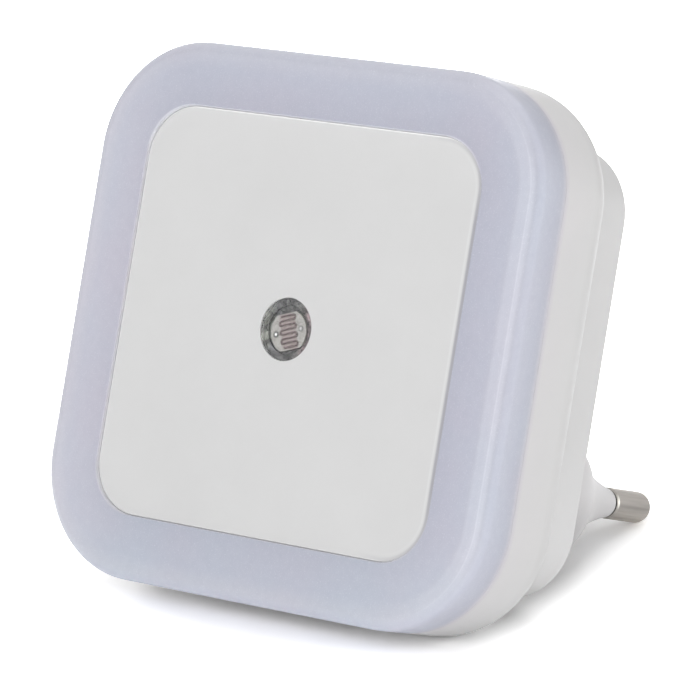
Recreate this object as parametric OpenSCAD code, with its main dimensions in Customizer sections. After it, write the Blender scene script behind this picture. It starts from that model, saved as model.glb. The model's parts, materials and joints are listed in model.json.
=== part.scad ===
/* [Face] */
// Side of the square outline of the light
face_size = 66; // [64:0.5:74]
// Corner radius of that outline
face_corner_r = 14.1; // [12:0.1:18]
// Side of the opaque plate in the middle of the face
plate_size = 50.1; // [46:0.1:51.4]
// Corner radius of the plate
plate_corner_r = 6.6; // [4:0.1:9]
// How far the plate lies behind the ring's front
plate_sink = 0.4; // [0.2:0.05:0.7]
// Thickness of the plate
plate_t = 1.6; // [1.2:0.1:2]
// Rounding of the plate's front edge
plate_edge_r = 0.1; // [0.05:0.05:0.6]
// Joint left all round the plate
plate_gap = 0.04; // [0.04:0.02:0.3]
// Diameter of the four stakes that hold the plate
stake_d = 2; // [1.6:0.1:3]
// Distance of a stake from the middle, across and up
stake_offset = 17; // [13:0.5:19]
// Length of a stake past the diffuser's floor
stake_head = 0.6; // [0.3:0.1:1.2]
// Clearance round a stake
stake_gap = 0.1; // [0.05:0.05:0.3]

/* [Diffuser] */
// Height of the diffuser's side wall, front to seam
diffuser_h = 5.9; // [4.8:0.1:6]
// Thickness of the diffuser's side wall
diffuser_wall = 3.1; // [2.9:0.1:3.4]
// Thickness of the ring round the plate
ring_t = 2; // [1.4:0.1:2.4]
// Thickness of the floor and rim behind the plate
floor_t = 1.3; // [1:0.1:1.6]
// Rounding of the diffuser's front edge
front_edge_r = 1.6; // [0.8:0.1:2.2]
// Rounding of the ring's inner edge, next to the plate
ring_edge_r = 0.2; // [0.1:0.05:0.6]
// Rounding of the edges on both sides of the seam
seam_edge_r = 0.12; // [0.08:0.02:0.5]
// Length of the lip that plugs into the housing
lip_h = 2.6; // [2.2:0.1:3.2]
// Clearance between the lip and the housing
lip_gap = 0.15; // [0.1:0.05:0.3]
// Radius of a snap bead on the lip
bead_r = 0.45; // [0.35:0.05:0.5]
// Length of a snap bead
bead_len = 6; // [4:0.5:9]
// Distance of a snap bead from the seam
bead_at = 1.6; // [1.2:0.1:1.7]
// Distance of the two beads of a side from its middle
bead_offset = 11; // [8:0.5:13]
// Clearance between a bead and its groove
bead_gap = 0.1; // [0.05:0.05:0.2]

/* [Housing] */
// Depth of the light from its front to the housing's rear ledge
housing_depth = 17.5; // [16.6:0.1:19]
// Wall of the housing and of the plug base
wall = 2; // [1.6:0.1:2.4]
// Rounding of the housing's rear edge
housing_edge_r = 5.2; // [3.6:0.1:5.2]
// Rounding of the housing's rear edge on its inside
inner_edge_r = 1.4; // [0.8:0.1:1.5]
// How far the plug base stands in from the outline
base_inset = 5.4; // [5.4:0.1:6.6]
// Depth of the light from its front to the back of the plug base
base_depth = 27.5; // [26:0.1:32]
// Rounding of the plug base's rear edge
base_edge_r = 1; // [0.4:0.1:1.6]
// Clearance round the plug base in the housing
base_gap = 0.1; // [0.05:0.05:0.2]
// Width of the flange that stops the plug base in the housing
flange_w = 1.8; // [1.2:0.1:2.2]
// Thickness of that flange
flange_t = 1.2; // [0.8:0.1:1.4]

/* [Plug] */
// Distance between the two pins
pin_pitch = 19; // [18:0.1:20]
// Diameter of the bare end of a pin
pin_d = 4; // [3.8:0.05:4.2]
// Length of the bare end of a pin
pin_bare = 9; // [8:0.5:11]
// Rounding of a pin's end
pin_end_r = 1.65; // [1:0.05:1.9]
// Length of the insulated part of a pin
sleeve_len = 10; // [9:0.5:11]
// Diameter of the sleeve's end, a little under the pin's own
sleeve_d = 3.76; // [3.6:0.02:3.78]
// Thickness of the sleeve round the pin's shank
sleeve_wall = 0.5; // [0.4:0.05:0.7]
// Distance from the back of the plug base to the seat of the plug
plug_reach = 21.9; // [20:0.1:28]
// How far the pins lie below the middle of the face
plug_drop = 14.8; // [13:0.1:15.5]
// Half height of the plug's body at its shoulder
plug_half_h = 9.6; // [8.6:0.1:10.2]
// Distance of the shoulder from the end of the sleeve
flare_len = 16.4; // [16.2:0.2:19]
// Radius of the hollow curve along the flare
flare_curve_r = 36; // [32:1:120]
// Radius of the fillet where the plug's body meets its base
root_r = 2.2; // [1:0.1:2.2]
// Rounding of the shoulder
shoulder_r = 9; // [1:0.5:9]
// Thickness of the wall that carries the pins
pin_wall = 3.4; // [2.6:0.2:5]
// Half height of the hollow inside the plug's body
pocket_half_h = 5; // [4.2:0.1:5.4]
// Diameter of a pin's head
pin_head_d = 5.6; // [5:0.1:7]
// Thickness of a pin's head
pin_head_t = 1.2; // [0.8:0.1:2]
// Diameter of the tail that the wire is soldered to
pin_tail_d = 1.8; // [1.4:0.1:2.4]
// Length of that tail
pin_tail_len = 3.4; // [2:0.2:6]
// Width of the groove between the sleeve and the bare end
pin_groove = 0.35; // [0.2:0.05:0.6]
// Chamfer of the bare end at the groove
pin_chamfer = 0.25; // [0.1:0.05:0.4]
// Clearance round the shank of a pin
pin_gap = 0.02; // [0.01:0.01:0.05]

/* [Sensor] */
// Diameter of the bore in the plate for the window
window_bore_d = 7.6; // [7:0.1:9]
// Clearance round the window and round the sensor
window_gap = 0.06; // [0.04:0.02:0.12]
// Thickness of the window
window_t = 0.5; // [0.4:0.1:1]
// How far the window lies behind the plate's front
window_sink = 0.1; // [0:0.05:0.3]
// Space between the window and the dark tube behind it
shroud_space = 0.1; // [0.05:0.05:0.2]
// Inner diameter of the dark tube behind the window
shroud_bore_d = 6; // [5.9:0.1:6.4]
// Thickness of the shelf round the sensor
shelf_t = 0.8; // [0.6:0.1:1.2]
// How far that shelf lies behind the sensor's face
shelf_sink = 0.3; // [0.2:0.1:0.6]
// Diameter of the light sensor
sensor_d = 5.2; // [4.8:0.1:5.3]
// Height of the light sensor across its two flats
sensor_flat_h = 4.4; // [4.2:0.1:5]
// Thickness of the light sensor
sensor_t = 2; // [1.6:0.1:2.6]
// Space between the window and the sensor's face
sensor_space = 0.15; // [0.15:0.05:0.8]
// How far the sensor sits below the middle of its window
sensor_drop = 0.2; // [0:0.05:0.3]
// Turn of the sensor in its tube, in degrees
sensor_turn = 18; // [0:1:45]
// Distance between the sensor's two leads
lead_pitch = 3.7; // [3.4:0.1:4]
// Diameter of a lead
lead_d = 0.5; // [0.4:0.05:0.6]
// Clearance round a lead
lead_gap = 0.02; // [0.01:0.01:0.05]
// Diameter of the crimped end of a lead
crimp_d = 0.62; // [0.6:0.02:0.7]
// Length of a lead past the back of its board
lead_tail = 0.8; // [0.4:0.1:1.2]
// Number of bars in the sensor's track
track_bars = 8; // [6:2:8]
// Distance between two bars of the track
track_pitch = 0.54; // [0.46:0.02:0.54]
// Width of the track
track_w = 0.27; // [0.2:0.01:0.3]
// Length of a bar of the track
track_len = 1.8; // [1.4:0.1:2]
// Height of the track above the sensor's face
track_t = 0.06; // [0.04:0.01:0.1]

/* [LED board] */
// Distance from the front of the light to the LED board
led_board_y = 9; // [8.9:0.1:9.2]
// Thickness of the LED board
led_board_t = 1.2; // [0.8:0.1:1.3]
// Space between the LED board's edge and the diffuser's wall
led_board_gap = 1.7; // [1.2:0.1:2.2]
// Width of an LED
led_w = 2.8; // [2:0.1:3]
// Length of an LED
led_len = 3.5; // [2.8:0.1:5]
// Thickness of an LED
led_t = 0.8; // [0.6:0.1:1]
// Distance of an LED's outer side from the board's edge
led_edge = 0.5; // [0.3:0.1:1]
// Distance of a side's two LEDs from its middle
led_offset = 9; // [6:0.5:13]

/* [Boards and screws] */
// Distance from the front of the light to the driver board
driver_y = 18.6; // [18.4:0.1:19.4]
// Thickness of the driver board
driver_t = 1.4; // [1:0.1:1.6]
// Height of the driver board
driver_h = 38; // [36:0.5:42]
// Space between the driver board and the pillars beside it
driver_gap = 0.7; // [0.4:0.1:1.5]
// Diameter of a pillar under the LED board
pillar_d = 4.8; // [4:0.1:5.2]
// Distance of a pillar from the light's outline, across and up
pillar_inset = 11.5; // [11.2:0.1:12]
// Diameter of a standoff under the driver board
standoff_d = 4; // [3.4:0.1:4.6]
// Distance of the two upper standoffs from the driver board's side
standoff_inset = 2.9; // [2.6:0.1:3.4]
// Distance of the two upper standoffs from the driver board's top
standoff_top = 4; // [2.8:0.1:5]
// Diameter of a screw
screw_d = 2; // [1.8:0.1:2.2]
// Length of a screw under its head
screw_len = 5; // [4:0.5:5.5]
// Diameter of a screw's head
screw_head_d = 3.6; // [3.2:0.1:4]
// Height of a screw's head
screw_head_h = 1.2; // [1:0.1:1.3]
// Width of the cross recess in a screw's head
recess_w = 0.5; // [0.4:0.05:0.7]
// Length of that recess
recess_len = 2.4; // [2:0.1:2.8]
// Depth of that recess
recess_depth = 0.6; // [0.4:0.1:0.8]
// Clearance round a screw in the boards
screw_gap = 0.15; // [0.1:0.05:0.3]
// Clearance round a screw in its pillar
thread_gap = 0.02; // [0.01:0.01:0.05]
// Depth left free in a pillar past its screw
pilot_spare = 1; // [0.4:0.1:1.1]

/* [Driver parts] */
// Distance of the outer parts from the driver board's edge
board_margin = 1.5; // [0.8:0.1:2]
// Space between neighbouring parts
part_gap = 1.6; // [1:0.1:1.8]
// Width of the film capacitor
film_cap_w = 13; // [10:0.5:13]
// Height of the film capacitor
film_cap_h = 11; // [8:0.5:12]
// Thickness of the film capacitor
film_cap_t = 6.2; // [4:0.1:6.6]
// Diameter of the round capacitor
round_cap_d = 6.3; // [5:0.1:6.6]
// Length of the round capacitor
round_cap_len = 11; // [9:0.5:12]
// Width of the bridge rectifier
rectifier_w = 4.8; // [4:0.1:6]
// Height of the bridge rectifier
rectifier_h = 3.9; // [3:0.1:4.5]
// Thickness of the bridge rectifier
rectifier_t = 2.5; // [2:0.1:3]
// Diameter of a resistor's body
resistor_d = 2.4; // [1.8:0.1:2.6]
// Length of a resistor's body
resistor_len = 6.4; // [5:0.2:7]
// Diameter of the transistor
transistor_d = 4.6; // [4:0.1:5]
// Length of the transistor's case
transistor_h = 4.6; // [4:0.1:4.8]
// Length of the transistor's legs
leg_h = 1.6; // [1:0.1:1.8]
// Distance between those legs
leg_pitch = 1.27; // [1.1:0.01:1.4]
// Diameter of the diode
zener_d = 1.9; // [1.6:0.1:2.4]
// Length of the diode's body
zener_len = 4; // [3:0.1:5]
// Diameter of the wire of a small part
part_wire_d = 0.6; // [0.5:0.05:0.65]
// Diameter of a small part's bent leg
part_leg_d = 0.7; // [0.7:0.05:0.9]
// Number of pins in the link between the boards
link_pins = 4; // [3:1:5]
// Distance between the link's pins
link_pitch = 2.54; // [2:0.01:2.54]
// Width of a pin of the link
link_pin_w = 0.64; // [0.5:0.02:0.8]
// Diameter of an insulated wire to a pin
wire_d = 1.5; // [1.2:0.1:1.7]

/* [Hidden] */

$fn = 96;
// Faces round the flare's large circle
flare_fn = 720;
// Overlap of joined solids, and how far a cut runs past a face
eps = 0.01;
over = 1;
face_half = face_size / 2;
plate_half = plate_size / 2;
recess_half = plate_half + plate_gap;
recess_r = plate_corner_r + plate_gap;
tub_half = recess_half + floor_t;
plate_back = plate_sink + plate_t;
floor_back = plate_back + floor_t;
cavity_half = face_half - diffuser_wall;
cavity_r = face_corner_r - diffuser_wall;
lip_half = face_half - wall - lip_gap;
lip_end = diffuser_h + lip_h;
bead_x = lip_half - bead_r / 2;
bead_y = diffuser_h + bead_at;
inner_half = face_half - wall;
inner_r = face_corner_r - wall;
base_half = face_half - base_inset;
base_r = face_corner_r - base_inset;
ledge_y = housing_depth - wall;
base_floor_y = base_depth - wall;

// Depths along the plug, from the front of the light
seat_y = base_depth + plug_reach;
sleeve_end = seat_y + sleeve_len;
pin_tip = sleeve_end + pin_bare;
pocket_end = seat_y - pin_wall;
pin_x = pin_pitch / 2;
sleeve_r = sleeve_d / 2;
shank_r = sleeve_r - sleeve_wall;

window_r = window_bore_d / 2 - window_gap;
window_front = plate_sink + window_sink;
window_back = window_front + window_t;
sensor_y = window_back + sensor_space;
shroud_y = window_back + shroud_space;
shelf_y = sensor_y + shelf_sink;
led_back = led_board_y + led_board_t;
led_board_half = cavity_half - led_board_gap;
led_x = led_board_half - led_edge - led_w / 2;
driver_back = driver_y + driver_t;
pillar_offset = face_half - pillar_inset;
driver_w = 2 * (pillar_offset - pillar_d / 2 - driver_gap);

// Places of the small parts on the driver board, across and up, out from its lower corners
film_cap_at = [-driver_w / 2 + board_margin + film_cap_w / 2, -driver_h / 2 + board_margin + film_cap_h / 2];
film_cap_top = film_cap_at[1] + film_cap_h / 2;
rectifier_at = [film_cap_at[0], film_cap_top + part_gap + rectifier_h / 2];
rectifier_top = rectifier_at[1] + rectifier_h / 2;
resistor_step = resistor_d + part_gap;
resistor_at = [for (i = [1, 2]) [film_cap_at[0], rectifier_top + i * resistor_step - resistor_d / 2]];
round_cap_at = [driver_w / 2 - board_margin - round_cap_d / 2, 0];
zener_at = [driver_w / 2 - board_margin - zener_len / 2 - part_wire_d - part_leg_d / 2,
            round_cap_at[1] - round_cap_len / 2 - part_gap - zener_d / 2];
link_w = link_pins * link_pitch;
link_at = [film_cap_at[0] + film_cap_w / 2 + part_gap + link_w / 2, film_cap_at[1]];
transistor_at = [0, resistor_at[1][1]];

stakes = [for (sx = [-1, 1], sz = [-1, 1]) [sx * stake_offset, sz * stake_offset]];
leads = [for (sx = [-1, 1]) [sx * lead_pitch / 2, 0]];
pillars = [for (sx = [-1, 1], sz = [-1, 1]) [sx * pillar_offset, sz * pillar_offset]];
standoffs = concat(
    [for (sx = [-1, 1]) [sx * (driver_w / 2 - standoff_inset), driver_h / 2 - standoff_top]],
    [[0, film_cap_top + part_gap + screw_head_d / 2]]);

// The row's origin is the middle of the plug's seat, between the pins
module seated() translate([0, -seat_y, plug_drop]) children();

// A flat outline in the plane of the face, extruded from depth y0 to y1
module slab(y0, y1) translate([0, y1, 0]) rotate([90, 0, 0]) linear_extrude(y1 - y0) children();

// A cylinder along the depth
module rod(r, y0, y1) translate([0, y0, 0]) rotate([-90, 0, 0]) cylinder(r = r, h = y1 - y0);

// A round body along the depth from a profile of radius and depth
module turned() rotate([-90, 0, 0]) rotate_extrude() children();

// A copy at each of some places across and up
module at_places(places) for (p = places) translate([p[0], 0, p[1]]) children();

module rounded_square(half, r) {
    square([2 * half, 2 * (half - r)], center = true);
    square([2 * (half - r), 2 * half], center = true);
    for (sx = [-1, 1], sz = [-1, 1]) translate([sx * (half - r), sz * (half - r)]) circle(r);
}

// Half section of a rounded block: f0 rounds its front edge and f1 its rear edge
module block_section(r, y0, y1, f0, f1) {
    translate([0, y0]) square([r - f0, y1 - y0 - f1]);
    translate([0, y0 + f0]) square([r - f1, y1 - y0 - f0]);
    translate([0, y0 + f0]) square([r, y1 - y0 - f0 - f1]);
    translate([r - f0, y0 + f0]) circle(f0);
    translate([r - f1, y1 - f1]) circle(f1);
}

// A section of width from the corner's axis and depth, swept round a rounded square
module swept(half, r) {
    core = half - r;
    for (i = [0:3]) rotate([0, 90 * i, 0]) {
        translate([core, 0, 0]) linear_extrude(2 * core, center = true) children();
        translate([core, 0, -core]) rotate([-90, 0, 0]) rotate_extrude(angle = 90) children();
    }
}

// A rounded square block with rounded front and rear edges
module block(half, r, y0, y1, f0, f1) {
    swept(half, r) block_section(r, y0, y1, f0, f1);
    translate([r - half, y0, r - half]) cube([2 * (half - r), y1 - y0, 2 * (half - r)]);
}

module front_plate() {
    color([0.85, 0.85, 0.85]) difference() {
        union() {
            block(plate_half, plate_corner_r, plate_sink, plate_back, plate_edge_r, eps);
            at_places(stakes) rod(stake_d / 2, plate_back - plate_t / 2, floor_back + stake_head);
        }
        rod(window_bore_d / 2, -over, plate_back + over);
    }
}

module snap_beads(r) {
    for (i = [0:3], side = [-1, 1]) rotate([0, 90 * i, 0]) translate([bead_x, bead_y, side * bead_offset])
        cylinder(r = r, h = bead_len + 2 * (r - bead_r), center = true);
}

module diffuser() {
    color([0.76, 0.77, 0.83]) difference() {
        union() {
            difference() {
                union() {
                    block(face_half, face_corner_r, 0, diffuser_h, front_edge_r, seam_edge_r);
                    slab(diffuser_h - over, lip_end) rounded_square(lip_half, inner_r - lip_gap);
                }
                slab(ring_t, lip_end + over) rounded_square(cavity_half, cavity_r);
            }
            slab(ring_t / 2, floor_back) rounded_square(tub_half, recess_r + floor_t);
            snap_beads(bead_r);
        }
        slab(-over, plate_back) rounded_square(recess_half, recess_r);
        swept(recess_half, recess_r) difference() {
            translate([recess_r - eps, -over]) square([ring_edge_r + eps, over + ring_edge_r]);
            translate([recess_r + ring_edge_r, ring_edge_r]) circle(ring_edge_r);
        }
        rod(window_bore_d / 2 + plate_gap, -over, lip_end);
        at_places(stakes) rod(stake_d / 2 + stake_gap, 0, lip_end);
    }
}

module rear_housing() {
    color([0.84, 0.84, 0.84]) difference() {
        block(face_half, face_corner_r, diffuser_h, housing_depth, seam_edge_r, housing_edge_r);
        block(inner_half, inner_r, diffuser_h - over, ledge_y, eps, inner_edge_r);
        slab(ledge_y - over, housing_depth + over) rounded_square(base_half + base_gap, base_r + base_gap);
        snap_beads(bead_r + bead_gap);
    }
}

// The flare is a hollow arc from the end of the sleeve to the shoulder of the plug's body. Distances
// are from the pin's axis, depths from the front of the light.
flare_a = [sleeve_r, sleeve_end];
flare_b = [plug_half_h, sleeve_end - flare_len];
flare_chord = norm(flare_b - flare_a);
flare_dir = (flare_b - flare_a) / flare_chord;
flare_c = (flare_a + flare_b) / 2
    + sqrt(pow(flare_curve_r, 2) - pow(flare_chord / 2, 2)) * [-flare_dir[1], flare_dir[0]];

// The shoulder's rounding touches the flare on one side and the straight body on the other
shoulder_x = plug_half_h - shoulder_r;
shoulder_c = [shoulder_x,
              flare_c[1] - sqrt(pow(flare_curve_r + shoulder_r, 2) - pow(flare_c[0] - shoulder_x, 2))];
shoulder_touch = shoulder_c + (flare_c - shoulder_c) * shoulder_r / (flare_curve_r + shoulder_r);

// The fillet round the foot of the plug ends on the flat back of the base
root_fit = min(root_r, base_half - base_edge_r - plug_drop - plug_half_h);
plug_foot = base_depth - wall / 2;

// Half outline of the plug's body
module plug_profile() {
    translate([0, plug_foot]) square([plug_half_h, shoulder_c[1] - plug_foot]);
    translate([0, shoulder_c[1] - eps]) difference() {
        square([shoulder_touch[0], sleeve_end - shoulder_c[1] + eps]);
        translate(flare_c - [0, shoulder_c[1] - eps]) circle(flare_curve_r, $fn = flare_fn);
    }
    intersection() {
        translate(shoulder_c) circle(shoulder_r);
        translate([0, plug_foot]) square([plug_half_h, sleeve_end - plug_foot]);
    }
    difference() {
        translate([0, plug_foot]) square([plug_half_h + root_fit, base_depth + root_fit - plug_foot]);
        translate([plug_half_h + root_fit, base_depth + root_fit]) circle(root_fit);
    }
}

module plug_body() {
    for (side = [-1, 1]) translate([side * pin_x, 0, 0]) turned() plug_profile();
    rotate([0, 90, 0]) linear_extrude(pin_pitch, center = true) intersection() {
        union() {
            plug_profile();
            mirror([1, 0]) plug_profile();
        }
        translate([-face_half, 0]) square([face_size, seat_y]);
    }
}

module plug_pocket() {
    for (side = [-1, 1]) translate([side * pin_x, 0, 0])
        rod(pocket_half_h, base_floor_y - eps, pocket_end);
    translate([-pin_x, base_floor_y - eps, -pocket_half_h])
        cube([pin_pitch, pocket_end - base_floor_y + eps, 2 * pocket_half_h]);
}

module plug_base() {
    color([0.83, 0.83, 0.84]) difference() {
        union() {
            difference() {
                union() {
                    block(base_half, base_r, ledge_y, base_depth, eps, base_edge_r);
                    slab(ledge_y - flange_t, ledge_y) rounded_square(base_half + flange_w, base_r + flange_w);
                }
                slab(ledge_y - flange_t - over, base_floor_y) rounded_square(base_half - wall, base_r - wall);
            }
            translate([0, 0, -plug_drop]) plug_body();
            at_places(pillars) rod(pillar_d / 2, led_back, base_floor_y + eps);
            at_places(standoffs) rod(standoff_d / 2, driver_back, base_floor_y + eps);
        }
        translate([0, 0, -plug_drop]) plug_pocket();
        for (side = [-1, 1]) translate([side * pin_x, 0, -plug_drop])
            rod(shank_r + pin_gap, pocket_end - over, sleeve_end + over);
        at_places(pillars)
            rod(screw_d / 2 + thread_gap, led_back - over, led_board_y + screw_len + pilot_spare);
        at_places(standoffs)
            rod(screw_d / 2 + thread_gap, driver_back - over, driver_y + screw_len + pilot_spare);
    }
}

pin_tail_y = pocket_end - pin_head_t - pin_tail_len;
bare_from = sleeve_end + pin_groove;

module pin(side) {
    color([0.66, 0.64, 0.61]) translate([side * pin_x, 0, -plug_drop]) {
        rod(pin_tail_d / 2, pin_tail_y, pocket_end);
        rod(pin_head_d / 2, pocket_end - pin_head_t, pocket_end);
        rod(shank_r, pocket_end - eps, bare_from + eps);
        turned() difference() {
            intersection() {
                block_section(pin_d / 2, bare_from, pin_tip, eps, pin_end_r);
                translate([0, bare_from]) square([pin_d, pin_bare]);
            }
            polygon([[pin_d / 2 - pin_chamfer, bare_from], [pin_d, bare_from],
                     [pin_d / 2, bare_from + pin_chamfer]]);
        }
    }
}

module sensor_window() {
    color([0.55, 0.55, 0.55, 0.5]) rod(window_r, window_front, window_back);
}

module in_sensor_place() translate([0, 0, -sensor_drop]) rotate([0, -sensor_turn, 0]) children();

// The sensor's outline, a circle with two flats
module sensor_outline(gap) {
    intersection() {
        circle(sensor_d / 2 + gap);
        square([sensor_d + 2 * gap, sensor_flat_h + 2 * gap], center = true);
    }
}

module sensor_shroud() {
    color([0.2, 0.2, 0.21]) difference() {
        rod(window_r, shroud_y, led_board_y);
        rod(shroud_bore_d / 2, shroud_y - over, shelf_y);
        rod(shroud_bore_d / 2, shelf_y + shelf_t, led_board_y + over);
        in_sensor_place() slab(window_back, led_board_y) sensor_outline(window_gap);
    }
}

module light_sensor() {
    color([0.72, 0.72, 0.69]) in_sensor_place() difference() {
        slab(sensor_y, sensor_y + sensor_t) sensor_outline(0);
        at_places(leads) rod(lead_d / 2 + lead_gap, sensor_y - over, sensor_y + sensor_t + over);
    }
}

module sensor_track() {
    first = -(track_bars - 1) / 2 * track_pitch;
    color([0.5, 0.4, 0.4]) in_sensor_place() slab(sensor_y - track_t, sensor_y) {
        for (i = [0:track_bars - 1]) translate([0, first + i * track_pitch])
            square([track_len, track_w], center = true);
        for (i = [0:track_bars - 2]) let (side = i % 2 == 0 ? 1 : -1)
            translate([side * track_len / 2, first + (i + 0.5) * track_pitch]) intersection() {
                difference() {
                    circle((track_pitch + track_w) / 2);
                    circle((track_pitch - track_w) / 2);
                }
                translate([side > 0 ? 0 : -track_pitch, -track_pitch]) square([track_pitch, 2 * track_pitch]);
            }
    }
}

module sensor_leads() {
    color([0.75, 0.75, 0.75]) in_sensor_place() at_places(leads) {
        rod(lead_d / 2, sensor_y - track_t, led_back + lead_tail);
        rod(crimp_d / 2, sensor_y - track_t, sensor_y);
    }
}

module led_board() {
    color([0.93, 0.94, 0.93]) difference() {
        slab(led_board_y, led_back) rounded_square(led_board_half, cavity_r - led_board_gap);
        at_places(pillars) rod(screw_d / 2 + screw_gap, led_board_y - over, led_back + over);
        in_sensor_place() at_places(leads) rod(lead_d / 2 + lead_gap, led_board_y - over, led_back + over);
    }
}

module leds() {
    color([0.95, 0.9, 0.6]) for (i = [0:3], side = [-1, 1]) rotate([0, 90 * i, 0])
        translate([led_x - led_w / 2, led_board_y - led_t, side * led_offset - led_len / 2])
            cube([led_w, led_t, led_len]);
}

module driver_board() {
    color([0.2, 0.45, 0.25]) difference() {
        translate([-driver_w / 2, driver_y, -driver_h / 2]) cube([driver_w, driver_t, driver_h]);
        at_places(standoffs) rod(screw_d / 2 + screw_gap, driver_y - over, driver_back + over);
    }
}

module screw(y) {
    difference() {
        union() {
            rod(screw_head_d / 2, y - screw_head_h, y);
            rod(screw_d / 2, y - eps, y + screw_len);
        }
        for (turn = [0, 90]) rotate([0, turn, 0])
            translate([-recess_len / 2, y - screw_head_h - over, -recess_w / 2])
                cube([recess_len, over + recess_depth, recess_w]);
    }
}

module board_screws() {
    color([0.6, 0.6, 0.62]) {
        at_places(pillars) screw(led_board_y);
        at_places(standoffs) screw(driver_y);
    }
}

module film_capacitor() {
    color([0.85, 0.65, 0.2]) translate([film_cap_at[0], driver_y - film_cap_t / 2, film_cap_at[1]])
        cube([film_cap_w, film_cap_t, film_cap_h], center = true);
}

module round_capacitor() {
    color([0.15, 0.15, 0.18]) translate([round_cap_at[0], driver_y - round_cap_d / 2, round_cap_at[1]])
        cylinder(d = round_cap_d, h = round_cap_len, center = true);
}

module bridge_rectifier() {
    color([0.12, 0.12, 0.12]) translate([rectifier_at[0], driver_y - rectifier_t / 2, rectifier_at[1]])
        cube([rectifier_w, rectifier_t, rectifier_h], center = true);
}

// A small part with a wire out of each end, lying across the board
module axial_part(at, d, len) {
    translate([at[0], driver_y - d / 2, at[1]]) rotate([0, 90, 0]) {
        cylinder(d = d, h = len, center = true);
        cylinder(d = part_wire_d, h = len + 2 * part_wire_d, center = true);
    }
    for (side = [-1, 1]) translate([at[0] + side * (len / 2 + part_wire_d), 0, at[1]])
        rod(part_leg_d / 2, driver_y - d / 2 - part_leg_d / 2, driver_y);
}

module resistors() {
    color([0.75, 0.62, 0.45]) for (at = resistor_at) axial_part(at, resistor_d, resistor_len);
}

module zener_diode() {
    color([0.75, 0.35, 0.2]) axial_part(zener_at, zener_d, zener_len);
}

module switch_transistor() {
    color([0.1, 0.1, 0.1]) translate([transistor_at[0], 0, transistor_at[1]]) {
        difference() {
            rod(transistor_d / 2, driver_y - leg_h - transistor_h, driver_y - leg_h);
            translate([-transistor_d / 2, driver_y - leg_h - transistor_h - over, transistor_d / 4])
                cube([transistor_d, transistor_h + 2 * over, transistor_d]);
        }
        for (i = [-1:1]) translate([i * leg_pitch, 0, 0])
            rod(part_wire_d / 2, driver_y - leg_h - eps, driver_y);
    }
}

module board_link() {
    color([0.15, 0.15, 0.15]) translate([link_at[0], 0, link_at[1]]) {
        translate([-link_w / 2, driver_y - link_pitch, -link_pitch / 2])
            cube([link_w, link_pitch, link_pitch]);
        for (i = [0:link_pins - 1])
            translate([(i - (link_pins - 1) / 2) * link_pitch - link_pin_w / 2, led_back, -link_pin_w / 2])
                cube([link_pin_w, driver_y - led_back - link_pitch + eps, link_pin_w]);
    }
}

module pin_wire(side) {
    translate([side * pin_x, 0, -plug_drop])
        rod(wire_d / 2, driver_back, pin_tail_y);
}

seated() front_plate();
seated() diffuser();
seated() rear_housing();
seated() plug_base();
seated() pin(-1);  // pin_left
seated() pin(1);  // pin_right
seated() sensor_window();
seated() sensor_shroud();
seated() light_sensor();
seated() sensor_track();
seated() sensor_leads();
seated() led_board();
seated() leds();
seated() driver_board();
seated() board_screws();
seated() film_capacitor();
seated() round_capacitor();
seated() bridge_rectifier();
seated() resistors();
seated() switch_transistor();
seated() zener_diode();
seated() board_link();
seated() color([0.45, 0.27, 0.15]) pin_wire(1);  // live_wire
seated() color([0.15, 0.3, 0.7]) pin_wire(-1);  // neutral_wire
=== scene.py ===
import json
import math

import bpy
from mathutils import Matrix, Vector


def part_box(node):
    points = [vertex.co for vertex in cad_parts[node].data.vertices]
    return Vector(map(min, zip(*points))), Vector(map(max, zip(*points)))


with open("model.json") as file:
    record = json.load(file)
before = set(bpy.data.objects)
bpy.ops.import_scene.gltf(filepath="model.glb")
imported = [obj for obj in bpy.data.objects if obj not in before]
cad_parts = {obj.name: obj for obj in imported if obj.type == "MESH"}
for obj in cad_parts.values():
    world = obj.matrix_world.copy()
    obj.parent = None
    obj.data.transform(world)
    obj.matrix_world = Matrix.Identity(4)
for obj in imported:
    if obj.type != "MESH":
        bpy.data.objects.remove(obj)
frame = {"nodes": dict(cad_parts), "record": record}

MM = 0.001
# Most of what a noise node gives lies between these.
NOISE_LOW, NOISE_HIGH = 0.3, 0.7

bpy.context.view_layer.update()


# ---------------------------------------------------------------- sizes, from the frame where it has them

plate_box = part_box("front_plate")
diffuser_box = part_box("diffuser")
housing_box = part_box("rear_housing")
pin_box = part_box("pin_right")
shroud_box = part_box("sensor_shroud")
lead_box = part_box("sensor_leads")

face_half = (diffuser_box[1].x - diffuser_box[0].x) / 2
face_front = diffuser_box[0].y
face_middle_z = (diffuser_box[0].z + diffuser_box[1].z) / 2
face_corner_r = 14.1 * MM
plate_inset = plate_box[0].x - diffuser_box[0].x
seam_depth = housing_box[0].y - face_front
housing_edge_r = 5.2 * MM

pin_r = 2 * MM
pin_end_r = 1.65 * MM
pin_bare_from = pin_box[1].y - 9 * MM

shroud_r = (shroud_box[1].x - shroud_box[0].x) / 2
crimp_r = 0.31 * MM
sensor_middle_z = (lead_box[0].z + lead_box[1].z) / 2
lead_x = lead_box[1].x - crimp_r
lead_z = lead_box[1].z - sensor_middle_z - crimp_r


# ---------------------------------------------------------------- camera

CAMERA_AT = Vector((351.52, -506.88, 9.05)) * MM
CAMERA_FORWARD = Vector((-0.59798, 0.80147, 0.00790))
CAMERA_RIGHT = Vector((0.79168, 0.58907, 0.16198))
SENSOR_WIDTH = 36.0
FOCAL_LENGTH = 250.2


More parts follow.
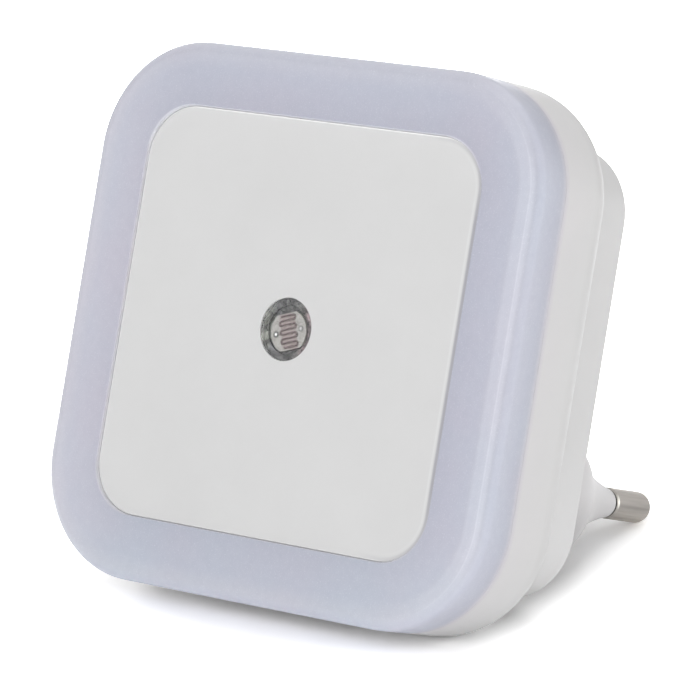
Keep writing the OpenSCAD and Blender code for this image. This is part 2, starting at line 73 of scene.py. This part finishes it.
def make_camera():
    data = bpy.data.cameras.new("camera")
    data.sensor_width = SENSOR_WIDTH
    data.lens = FOCAL_LENGTH
    data.clip_start = 0.02
    data.clip_end = 20
    camera = bpy.data.objects.new("camera", data)
    forward = CAMERA_FORWARD.normalized()
    right = (CAMERA_RIGHT - CAMERA_RIGHT.dot(forward) * forward).normalized()
    up = right.cross(forward)
    turn = Matrix((right, up, -forward)).transposed()
    camera.matrix_world = Matrix.Translation(CAMERA_AT) @ turn.to_4x4()
    bpy.context.scene.collection.objects.link(camera)
    bpy.context.scene.camera = camera


# ---------------------------------------------------------------- node helpers

def new_material(name):
    mat = bpy.data.materials.new(name)
    mat.use_nodes = True
    nt = mat.node_tree
    nt.nodes.clear()
    out = nt.nodes.new("ShaderNodeOutputMaterial")
    shader = nt.nodes.new("ShaderNodeBsdfPrincipled")
    nt.links.new(shader.outputs["BSDF"], out.inputs["Surface"])
    return mat, nt, shader


def srgb(r, g, b):
    """A colour as a picture writes it, from 0 to 255."""
    def linear(v):
        v /= 255
        return v / 12.92 if v <= 0.04045 else ((v + 0.055) / 1.055) ** 2.4
    return (linear(r), linear(g), linear(b), 1)


def grey(v):
    return (v, v, v, 1)


def place(nt):
    return nt.nodes.new("ShaderNodeTexCoord").outputs["Object"]


def axis_of(nt, axis):
    n = nt.nodes.new("ShaderNodeSeparateXYZ")
    nt.links.new(place(nt), n.inputs[0])
    return n.outputs[axis]


def math_node(nt, kind, a, b=None):
    n = nt.nodes.new("ShaderNodeMath")
    n.operation = kind
    for socket, value in zip(n.inputs, (a, b)):
        if value is None:
            continue
        if isinstance(value, (int, float)):
            socket.default_value = value
        else:
            nt.links.new(value, socket)
    return n.outputs[0]


def times(nt, a, b):
    return math_node(nt, "MULTIPLY", a, b)


def minus(nt, a, b):
    return math_node(nt, "SUBTRACT", a, b)


def absolute(nt, value):
    return math_node(nt, "ABSOLUTE", value)


def hypotenuse(nt, a, b):
    square = math_node(nt, "ADD", math_node(nt, "POWER", a, 2.0), math_node(nt, "POWER", b, 2.0))
    return math_node(nt, "SQRT", square)


def map_range(nt, value, low, high, to_low=0.0, to_high=1.0):
    n = nt.nodes.new("ShaderNodeMapRange")
    for name, v in (("From Min", low), ("From Max", high), ("To Min", to_low), ("To Max", to_high)):
        n.inputs[name].default_value = v
    nt.links.new(value, n.inputs["Value"])
    return n.outputs["Result"]


def over_mm(nt, value, start, end):
    """0 at one length in millimetres, 1 at another, and a straight change between them."""
    return map_range(nt, value, start * MM, end * MM)


def line_at(nt, value, at, half_width):
    """1 on a thin line where a value is reached, 0 away from it."""
    return map_range(nt, absolute(nt, minus(nt, value, at)), half_width, 0.0)


def noise(nt, scale, detail=2.0, rough=0.5, where=None):
    n = nt.nodes.new("ShaderNodeTexNoise")
    n.inputs["Scale"].default_value = scale
    n.inputs["Detail"].default_value = detail
    n.inputs["Roughness"].default_value = rough
    nt.links.new(where or place(nt), n.inputs["Vector"])
    return n.outputs["Fac"]


def ramp(nt, value, stops):
    n = nt.nodes.new("ShaderNodeValToRGB")
    elements = n.color_ramp.elements
    while len(elements) < len(stops):
        elements.new(1)
    for element, (at, colour) in zip(elements, stops):
        element.position = at
        element.color = colour
    nt.links.new(value, n.inputs["Fac"])
    return n.outputs["Color"]


def tones(nt, value, stops):
    """Colours that change along a length. Each stop is a place in millimetres and its colour."""
    start, end = stops[0][0], stops[-1][0]
    share = over_mm(nt, value, start, end)
    return ramp(nt, share, [((at - start) / (end - start), colour) for at, colour in stops])


def cloud(nt, scale, low, high):
    """A colour that wanders softly between two."""
    return ramp(nt, noise(nt, scale, 4), [(NOISE_LOW, low), (NOISE_HIGH, high)])


def mix(nt, share, a, b, how="MIX"):
    n = nt.nodes.new("ShaderNodeMix")
    n.data_type = "RGBA"
    n.blend_type = how
    for socket, value in ((n.inputs[0], share), (n.inputs[6], a), (n.inputs[7], b)):
        if isinstance(value, (int, float, tuple)):
            socket.default_value = value
        else:
            nt.links.new(value, socket)
    return n.outputs[2]


def tint(nt, share, colour, by):
    """A colour multiplied by another, as far as the share says."""
    return mix(nt, share, colour, by, "MULTIPLY")


def gain(r, g, b):
    """Factors for red, green and blue."""
    return (r, g, b, 1)


def set_roughness(nt, shader, low, high, scale=900):
    """A roughness that wanders between two values."""
    value = map_range(nt, noise(nt, scale), NOISE_LOW, NOISE_HIGH, low, high)
    nt.links.new(value, shader.inputs["Roughness"])


def set_colour(nt, shader, colour):
    nt.links.new(colour, shader.inputs["Base Color"])


def bump(nt, shader, height, distance, strength):
    n = nt.nodes.new("ShaderNodeBump")
    n.inputs["Distance"].default_value = distance
    n.inputs["Strength"].default_value = strength
    nt.links.new(height, n.inputs["Height"])
    nt.links.new(n.outputs["Normal"], shader.inputs["Normal"])


# ---------------------------------------------------------------- places on the part

def across_and_up(nt):
    """Distances from the middle of the face, to the right and up."""
    split = nt.nodes.new("ShaderNodeSeparateXYZ")
    nt.links.new(place(nt), split.inputs[0])
    return split.outputs["X"], minus(nt, split.outputs["Z"], face_middle_z)


def depth_behind_face(nt):
    return minus(nt, axis_of(nt, "Y"), face_front)


def inset_from_outline(nt):
    """How far a point lies inside the light's outline, seen from the front."""
    core = face_half - face_corner_r
    across, level = across_and_up(nt)
    over_x = minus(nt, absolute(nt, across), core)
    over_z = minus(nt, absolute(nt, level), core)
    outside = hypotenuse(nt, math_node(nt, "MAXIMUM", over_x, 0.0), math_node(nt, "MAXIMUM", over_z, 0.0))
    inside = math_node(nt, "MINIMUM", math_node(nt, "MAXIMUM", over_x, over_z), 0.0)
    return minus(nt, face_corner_r, math_node(nt, "ADD", outside, inside))


def toward_side(nt, sign, upright=False):
    """1 on one side of the ring: right (sign 1) or left (-1), or top (1) or foot (-1) when upright."""
    corner_blend = 9
    ahead, beside = across_and_up(nt)
    if upright:
        ahead, beside = beside, ahead
    lead = minus(nt, times(nt, ahead, sign), absolute(nt, beside))
    return over_mm(nt, lead, -corner_blend, corner_blend)


def from_sensor_middle(nt):
    """Distances from the middle of the light sensor, to the right and up."""
    across, level = across_and_up(nt)
    return across, math_node(nt, "ADD", level, face_middle_z - sensor_middle_z)


def from_nearest_lead(nt):
    """Distance from the middle of the nearer lead in crimped radii, and 1 at the right one."""
    across, level = from_sensor_middle(nt)
    side = math_node(nt, "SIGN", across)
    off_x = minus(nt, absolute(nt, across), lead_x)
    off_z = minus(nt, times(nt, level, side), lead_z)
    return math_node(nt, "DIVIDE", hypotenuse(nt, off_x, off_z), crimp_r), map_range(nt, side, -1, 1)


# ---------------------------------------------------------------- materials

def plate_material():
    mat, nt, shader = new_material("plate")
    inset = inset_from_outline(nt)
    right = toward_side(nt, 1)
    top = toward_side(nt, 1, upright=True)
    colour = cloud(nt, 90, srgb(205, 205, 205), srgb(208, 208, 208))
    # Painted shade of the gap along the plate's right edge. Seen from the camera, the frame hides the
    # plate's first 0.3 mm on the right, so this shade is painted past it.
    gap_shade = times(nt, map_range(nt, inset, plate_inset + 0.67 * MM, plate_inset + 0.43 * MM), right)
    colour = mix(nt, gap_shade, colour, srgb(163, 162, 168))
    # Painted light along the plate's edge, away from the right side and brightest at the top.
    brim_light = times(nt, map_range(nt, inset, plate_inset + 0.25 * MM, plate_inset + 0.05 * MM),
                 map_range(nt, right, 1.0, 0.4))
    colour = mix(nt, brim_light, colour, mix(nt, top, srgb(218, 218, 218), srgb(242, 242, 242)))
    # A painted highlight line along the plate's right side.
    rim_highlight = times(nt, line_at(nt, inset, plate_inset + 0.9 * MM, 0.2 * MM), right)
    colour = mix(nt, times(nt, rim_highlight, 0.5), colour, srgb(220, 220, 221))
    set_colour(nt, shader, colour)
    set_roughness(nt, shader, 0.52, 0.62)
    bump(nt, shader, noise(nt, 4200, 3), 0.02 * MM, 0.6)
    return mat


def ring_front(nt, inset):
    """Colour of the milky frame's front and rounded edge, darker towards the plate, with painted light and
    shade by side.
    """
    across, level = across_and_up(nt)
    right = toward_side(nt, 1)
    top = toward_side(nt, 1, upright=True)
    foot = toward_side(nt, -1, upright=True)
    colour = tones(nt, inset, [
        (0, srgb(194, 195, 206)), (1.6, srgb(188, 189, 200)), (3.28, srgb(181, 183, 196)),
        (5.6, srgb(179, 180, 193)), (7.76, srgb(175, 176, 189))])
    # Painted light: a lighter outer band on the right side.
    outer_band_light = times(nt, over_mm(nt, inset, 2.75, 2.25), right)
    colour = mix(nt, outer_band_light, colour, srgb(193, 195, 206))
    # Painted light and shade by side: lighter on the left, a shade darker on top, slightly tinted at the
    # foot.
    colour = tint(nt, toward_side(nt, -1), colour, gain(1.09, 1.075, 1.055))
    colour = tint(nt, top, colour, gain(0.99, 0.985, 0.985))
    colour = tint(nt, foot, colour, gain(0.985, 1.005, 0.995))
    # Painted light on the rounded edge at the top and the foot.
    edge = over_mm(nt, inset, 1.2, 0.4)
    colour = tint(nt, times(nt, edge, top), colour, gain(1.24, 1.24, 1.22))
    colour = tint(nt, times(nt, edge, foot), colour, gain(1.1, 1.1, 1.12))
    # Painted light at the brink on the right.
    brink_light = times(nt, over_mm(nt, inset, 0.5, 0.2), right)
    colour = tint(nt, brink_light, colour, gain(1.05, 1.06, 1.07))
    # Painted light at the lower corners.
    low_corner_light = times(nt, over_mm(nt, level, -12, -27), over_mm(nt, absolute(nt, across), 12, 25))
    return tint(nt, low_corner_light, colour, gain(1.05, 1.06, 1.05))


def ring_side(nt, depth):
    """Colour of the milky frame's outer side, from its front edge to the seam."""
    return ramp(nt, map_range(nt, depth, 0, seam_depth), [
        (0.02, srgb(223, 226, 239)), (0.12, srgb(217, 219, 231)), (0.2, srgb(207, 210, 223)),
        (0.34, srgb(199, 202, 215)), (0.7, srgb(191, 194, 207)), (0.87, srgb(190, 192, 204)),
        (1.0, srgb(205, 203, 210))])


def diffuser_material():
    mat, nt, shader = new_material("diffuser")
    inset = inset_from_outline(nt)
    depth = depth_behind_face(nt)
    right = toward_side(nt, 1)
    on_side = times(nt, over_mm(nt, depth, 0.5, 1.5), over_mm(nt, inset, 4, 3))
    colour = mix(nt, on_side, ring_front(nt, inset), ring_side(nt, depth))
    # A painted highlight along the ridge on the right side.
    ridge_highlight = times(nt, line_at(nt, inset, 1.05 * MM, 0.12 * MM), right)
    colour = mix(nt, times(nt, ridge_highlight, 0.2), colour, srgb(232, 233, 240))
    # The wall of the recess that the plate sits in, painted lighter deeper in, away from the right side and
    # most at the top: painted light.
    recess = times(nt, map_range(nt, inset, plate_inset - 0.2 * MM, plate_inset - 0.05 * MM),
                   map_range(nt, right, 1.0, 0.3))
    recess_wall_light = mix(nt, over_mm(nt, depth, 0.08, 0.25), srgb(192, 192, 199), srgb(228, 228, 231))
    recess_wall_light = tint(nt, toward_side(nt, 1, upright=True), recess_wall_light, grey(1.3))
    colour = mix(nt, recess, colour, recess_wall_light)
    patches = ramp(nt, noise(nt, 75, 2), [(0.35, srgb(255, 253, 254)), (0.65, srgb(252, 254, 255))])
    grain = ramp(nt, noise(nt, 1100, 4, 0.6), [(0.35, srgb(251, 251, 252)), (0.65, srgb(255, 255, 255))])
    colour = tint(nt, 1.0, tint(nt, 1.0, colour, patches), grain)
    speckle = map_range(nt, noise(nt, 5200, 2, 0.7), 0.56, 0.72)
    colour = mix(nt, times(nt, speckle, 0.22), colour, srgb(232, 233, 240))
    set_colour(nt, shader, colour)
    shader.inputs["Subsurface Weight"].default_value = 0.12
    shader.inputs["Subsurface Scale"].default_value = 1.2 * MM
    shader.inputs["Subsurface Radius"].default_value = (0.9, 0.95, 1.0)
    set_roughness(nt, shader, 0.36, 0.46)
    bump(nt, shader, noise(nt, 3500, 3), 0.02 * MM, 0.5)
    return mat


def housing_material():
    """White plastic of the housing, its second tier and the plug. Its tones by depth behind the face are
    painted light and shade.
    """
    mat, nt, shader = new_material("housing")
    depth = depth_behind_face(nt)
    level = across_and_up(nt)[1]
    over_pin = axis_of(nt, "Z")
    colour = tones(nt, depth, [
        (5.8, srgb(208, 206, 213)), (6.2, srgb(214, 211, 215)), (6.75, srgb(219, 217, 218)),
        (12, srgb(218, 217, 217)), (13.6, srgb(211, 210, 210)), (15.5, srgb(204, 204, 204)),
        (18, srgb(229, 228, 228)), (22.5, srgb(228, 227, 227)), (26.7, srgb(224, 223, 223)),
        (30.2, srgb(220, 219, 219)), (33, srgb(220, 218, 219)), (35.5, srgb(226, 224, 225)),
        (39, srgb(226, 224, 225))])
    colour = tint(nt, 1.0, colour, cloud(nt, 70, srgb(251, 252, 252), srgb(255, 255, 255)))
    # Painted light near the top.
    top_light = over_mm(nt, level, 23, 29.5)
    colour = tint(nt, top_light, colour, grey(1.09))
    second_tier = times(nt, over_mm(nt, depth, 16, 18), over_mm(nt, depth, 33, 31))
    # Painted light low on the second tier.
    low_tier_light = times(nt, over_mm(nt, level, -6, -20), second_tier)
    colour = tint(nt, low_tier_light, colour, grey(1.09))
    # Painted shade under the flare.
    flare = tones(nt, depth, [(34, grey(0)), (40, grey(1)), (45, grey(1)), (49, grey(0.2))])
    shade_under_flare = times(nt, over_mm(nt, over_pin, 1, -3.5), flare)
    colour = tint(nt, shade_under_flare, colour, grey(0.84))
    # Painted light under the sleeve.
    light_under_sleeve = times(nt, over_mm(nt, over_pin, 1, -2.5), over_mm(nt, depth, 46, 51))
    colour = tint(nt, light_under_sleeve, colour, grey(1.12))
    set_colour(nt, shader, colour)
    set_roughness(nt, shader, 0.42, 0.52)
    bump(nt, shader, noise(nt, 3800, 3), 0.02 * MM, 0.5)
    return mat


def pin_material():
    """Drawn metal: its noise is stretched along the pin."""
    mat, nt, shader = new_material("pins")
    stretch = nt.nodes.new("ShaderNodeMapping")
    stretch.inputs["Scale"].default_value = (1, 0.06, 1)
    nt.links.new(place(nt), stretch.inputs["Vector"])
    drawn = noise(nt, 1800, 3, 0.6, stretch.outputs["Vector"])
    reach = axis_of(nt, "Y")
    height = axis_of(nt, "Z")
    dark_metal = (0.22, 0.207, 0.193, 1)
    light_metal = (0.3, 0.283, 0.264, 1)
    colour = ramp(nt, drawn, [(NOISE_LOW, dark_metal), (NOISE_HIGH, light_metal)])
    # Painted light and shade by height: lighter along the pin's underside and top, darker in the middle.
    colour = tint(nt, 1.0, colour, tones(nt, height, [
        (-2, grey(1.9)), (-0.8, grey(1.3)), (0, grey(0.78)), (0.8, grey(0.95)), (1.4, grey(1.25)),
        (2, grey(1.35))]))
    # Painted shade in the groove where the bare metal leaves the sleeve.
    groove_shade = map_range(nt, reach, pin_bare_from + 0.44 * MM, pin_bare_from + 0.36 * MM)
    colour = mix(nt, groove_shade, colour, grey(0.02))
    glint = times(nt, line_at(nt, reach, pin_bare_from + 0.6 * MM, 0.22 * MM),
                  line_at(nt, height, 0.4 * MM, 1.0 * MM))
    colour = mix(nt, glint, colour, (1.0, 0.98, 0.9, 1))
    set_colour(nt, shader, colour)
    shader.inputs["Metallic"].default_value = 1.0
    roughness = map_range(nt, drawn, NOISE_LOW, NOISE_HIGH, 0.46, 0.56)
    nt.links.new(roughness, shader.inputs["Roughness"])
    bump(nt, shader, drawn, 0.01 * MM, 0.6)
    return mat


def shroud_material():
    mat, nt, shader = new_material("shroud")
    tone = ramp(nt, map_range(nt, across_and_up(nt)[0], -shroud_r, shroud_r), [
        (0.0, srgb(88, 90, 83)), (0.12, srgb(84, 86, 81)), (0.2, srgb(72, 72, 74)), (0.7, srgb(70, 70, 69)),
        (0.85, srgb(96, 83, 86)), (1.0, srgb(86, 83, 84))])
    blotch = ramp(nt, noise(nt, 1500, 5, 0.7), [(0.41, grey(0.1)), (0.5, grey(0.85)), (0.58, grey(2.3))])
    set_colour(nt, shader, tint(nt, 1.0, tone, blotch))
    set_roughness(nt, shader, 0.4, 0.6)
    bump(nt, shader, noise(nt, 2500, 4), 0.04 * MM, 0.6)
    return mat


def ceramic_material():
    mat, nt, shader = new_material("ceramic")
    across, level = from_sensor_middle(nt)
    # The track lies on a pinker ground, which leans this far aside for each length up, as the track does.
    track_lean = 0.32
    off_track = absolute(nt, math_node(nt, "ADD", across, times(nt, level, track_lean)))
    ground = times(nt, over_mm(nt, off_track, 1.35, 1.0), over_mm(nt, absolute(nt, level), 2.35, 2.0))
    colour = cloud(nt, 2400, srgb(134, 133, 129), srgb(147, 145, 141))
    colour = mix(nt, ground, colour, srgb(129, 118, 116))
    out, is_right = from_nearest_lead(nt)
    # A painted shadow around each lead, stronger around the left one.
    lead_shadow = times(nt, map_range(nt, out, 1.5, 1.2), map_range(nt, is_right, 0, 1, 0.85, 0.4))
    set_colour(nt, shader, mix(nt, lead_shadow, colour, srgb(72, 72, 70)))
    set_roughness(nt, shader, 0.25, 0.35)
    bump(nt, shader, noise(nt, 2500, 2), 0.02 * MM, 0.4)
    return mat


def lead_material():
    mat, nt, shader = new_material("tinned_wire")
    out, is_right = from_nearest_lead(nt)
    # Painted light and shade on one tinned wire: the left lead's end is painted lighter than the right
    # one's. Each end turns darker at its rim.
    left = ramp(nt, out, [(0.0, grey(0.75)), (0.5, grey(0.7)), (0.68, grey(0.05)), (1.0, grey(0.05))])
    right = ramp(nt, out, [(0.0, grey(0.42)), (0.6, grey(0.36)), (0.8, grey(0.13)), (1.0, grey(0.13))])
    mottle = ramp(nt, noise(nt, 5000), [(0.35, grey(0.9)), (0.65, grey(1.0))])
    set_colour(nt, shader, tint(nt, 1.0, mix(nt, is_right, left, right), mottle))
    set_roughness(nt, shader, 0.3, 0.4)
    bump(nt, shader, noise(nt, 2500, 2), 0.02 * MM, 0.4)
    return mat


def window_material():
    mat, nt, shader = new_material("window")
    shader.inputs["Base Color"].default_value = (0.97, 0.97, 0.97, 1)
    shader.inputs["Transmission Weight"].default_value = 1.0
    shader.inputs["IOR"].default_value = 1.2
    set_roughness(nt, shader, 0.02, 0.05, scale=1500)
    bump(nt, shader, noise(nt, 700, 2), 0.01 * MM, 0.3)
    return mat


def plain_material(name, low, high, rough=(0.4, 0.5), scale=300):
    mat, nt, shader = new_material(name)
    set_colour(nt, shader, cloud(nt, scale, low, high))
    set_roughness(nt, shader, *rough)
    bump(nt, shader, noise(nt, 2500, 2), 0.02 * MM, 0.4)
    return mat


SATIN = (0.25, 0.35)
MATERIALS = {
    "plate": plate_material(),
    "diffuser": diffuser_material(),
    "housing": housing_material(),
    "pins": pin_material(),
    "window": window_material(),
    "shroud": shroud_material(),
    "dark_plastic": plain_material("dark_plastic", srgb(88, 88, 90), srgb(116, 116, 116), scale=1500),
    "ceramic": ceramic_material(),
    "track": plain_material("track", srgb(62, 49, 50), srgb(86, 70, 70), scale=2400),
    "tinned_wire": lead_material(),
    "led_board": plain_material("led_board", srgb(232, 234, 232), srgb(240, 240, 238)),
    "led": plain_material("led", srgb(240, 225, 120), srgb(246, 234, 150), (0.15, 0.25)),
    "driver_board": plain_material("driver_board", srgb(40, 110, 62), srgb(48, 124, 70), SATIN),
    "screws": plain_material("screws", srgb(170, 170, 172), srgb(190, 190, 190), SATIN),
    "yellow_case": plain_material("yellow_case", srgb(222, 168, 42), srgb(230, 180, 56), (0.2, 0.3)),
    "resistor": plain_material("resistor", srgb(196, 164, 122), srgb(206, 176, 134), SATIN),
    "diode": plain_material("diode", srgb(186, 92, 58), srgb(198, 106, 70), (0.1, 0.2)),
    "brown_wire": plain_material("brown_wire", srgb(110, 66, 42), srgb(122, 76, 50)),
    "blue_wire": plain_material("blue_wire", srgb(34, 74, 160), srgb(44, 86, 172)),
}


def dress_cad_nodes():
    for part in frame["record"]["subparts"]:
        shown = frame["nodes"][part["node"]]
        shown.data.materials.clear()
        shown.data.materials.append(MATERIALS[part["material_slot"]])


# ---------------------------------------------------------------- floor, backdrop and light

FLOOR_HALF = 6.0
# The floor's colour for the light's own rays, and as it is seen beside the shadow.
UNSEEN_FLOOR = 0.9
OPEN_FLOOR = 2.0
# How strongly the world lights the part. It is seen as full white.
WORLD_LIGHT = 0.21
# How far the soft shadow's side edge drifts to the left for each length back.
SHADOW_SLANT = 0.28
# How soon the floor turns white aside, behind and in front.
WHITE_ASIDE, WHITE_BEHIND, WHITE_IN_FRONT = 1.6, 0.72, 3.0
LIGHTS_AIM_AT = Vector((0, -30 * MM, 0))
# Each lamp's name, its place in metres (aside, back and up, as the floor leans), its width and its watts.
LAMPS = (
    ("front_left", (-0.6, -1.0, 0.6), 0.8, 2.56),
    ("front", (0.5, -1.0, 0.35), 0.9, 7.4),
    ("top_front", (0.0, -0.5, 1.1), 0.8, 2.23),
    ("back_right", (1.0, 0.9, 0.3), 0.8, 4.32),
    ("back_left", (-0.9, 1.0, 0.15), 0.8, 3.5),
    ("back_top", (0.0, 0.8, 1.0), 0.8, 2.06),
)


def resting_plane():
    """Angle and a point of the floor, which touches the housing's rear edge and the pins' tips."""
    steepest = math.radians(40)
    halvings = 40
    edge = Vector((housing_box[1].y - housing_edge_r, housing_box[0].z + housing_edge_r))
    tip = Vector((pin_box[1].y - pin_end_r, pin_end_r - pin_r))
    low, high = 0.0, steepest
    for _ in range(halvings):
        angle = (low + high) / 2
        normal = Vector((-math.sin(angle), math.cos(angle)))
        under_edge = normal.dot(edge) - housing_edge_r
        under_tip = normal.dot(tip) - pin_end_r
        if under_tip > under_edge:
            low = angle
        else:
            high = angle
    point = edge - normal * housing_edge_r
    return angle, Vector((0, point.x, point.y))


def seen_share(nt):
    """1 for rays from the camera, also by a reflection or through the window, and 0 for the light's own."""
    seen = nt.nodes.new("ShaderNodeLightPath")
    share = math_node(nt, "MAXIMUM", seen.outputs["Is Camera Ray"], seen.outputs["Is Glossy Ray"])
    return math_node(nt, "MAXIMUM", share, seen.outputs["Is Transmission Ray"])


def floor_colour(nt, seen):
    """How bright the floor is seen, by the distance back from the line that the housing rests on."""
    aside = axis_of(nt, "X")
    back = axis_of(nt, "Y")
    shadow = tones(nt, back, [
        (-16, grey(1.55)), (-12, grey(1.6)), (-10, grey(1.73)), (-8, grey(1.68)), (-7, grey(1.61)),
        (-6, grey(1.44)), (-5, grey(1.25)), (-4, grey(1.12)), (-2, grey(1.05)), (20, grey(1.02)),
        (48.8, grey(0.96)), (56, grey(1.14)), (62, grey(1.9))])
    contact = times(nt, over_mm(nt, back, -7, -3), over_mm(nt, back, 12, 5))
    off_middle = over_mm(nt, absolute(nt, aside), 8, 18)
    shadow = tint(nt, times(nt, off_middle, contact), shadow, grey(1.42))
    past_shadow = over_mm(nt, math_node(nt, "ADD", aside, times(nt, back, SHADOW_SLANT)), 24.5, 29.5)
    return mix(nt, seen, grey(UNSEEN_FLOOR), mix(nt, past_shadow, shadow, grey(OPEN_FLOOR)))


def floor_glow(nt):
    """Fades the seen floor into the white backdrop, away from the light."""
    back = axis_of(nt, "Y")
    along = math_node(nt, "MAXIMUM", times(nt, back, WHITE_BEHIND), times(nt, back, -WHITE_IN_FRONT))
    away = hypotenuse(nt, times(nt, axis_of(nt, "X"), WHITE_ASIDE), along)
    return tones(nt, away, [(35, grey(0.02)), (50, grey(0.2)), (70, grey(0.5)), (100, grey(1.0))])


def floor_material():
    mat, nt, shader = new_material("floor")
    seen = seen_share(nt)
    set_colour(nt, shader, floor_colour(nt, seen))
    nt.links.new(times(nt, seen, floor_glow(nt)), shader.inputs["Emission Strength"])
    shader.inputs["Emission Color"].default_value = (1, 1, 1, 1)
    shader.inputs["Roughness"].default_value = 0.6
    return mat


def make_floor(lean, point):
    mesh = bpy.data.meshes.new("floor")
    corners = [(x * FLOOR_HALF, y * FLOOR_HALF, 0) for x, y in ((-1, -1), (1, -1), (1, 1), (-1, 1))]
    mesh.from_pydata(corners, [], [(0, 1, 2, 3)])
    mesh.materials.append(floor_material())
    floor = bpy.data.objects.new("floor", mesh)
    floor.matrix_world = Matrix.Translation(point) @ Matrix.Rotation(lean, 4, "X")
    bpy.context.scene.collection.objects.link(floor)


def make_world():
    world = bpy.data.worlds.new("world")
    world.use_nodes = True
    nt = world.node_tree
    background = nt.nodes["Background"]
    background.inputs["Color"].default_value = (1, 1, 1, 1)
    nt.links.new(map_range(nt, seen_share(nt), 0, 1, WORLD_LIGHT, 1.0), background.inputs["Strength"])
    bpy.context.scene.world = world


def make_lights(lean):
    over_floor = Matrix.Rotation(lean, 3, "X")
    for name, at, width, watts in LAMPS:
        data = bpy.data.lights.new(name, "AREA")
        data.shape = "DISK"
        data.size = width
        data.energy = watts
        lamp = bpy.data.objects.new(name, data)
        lamp.location = over_floor @ Vector(at)
        lamp.rotation_euler = (LIGHTS_AIM_AT - lamp.location).to_track_quat("-Z", "Y").to_euler()
        bpy.context.scene.collection.objects.link(lamp)


# ---------------------------------------------------------------- build

bpy.context.scene.view_settings.view_transform = "Standard"
make_camera()
dress_cad_nodes()
lean, floor_point = resting_plane()
make_floor(lean, floor_point)
make_world()
make_lights(lean)
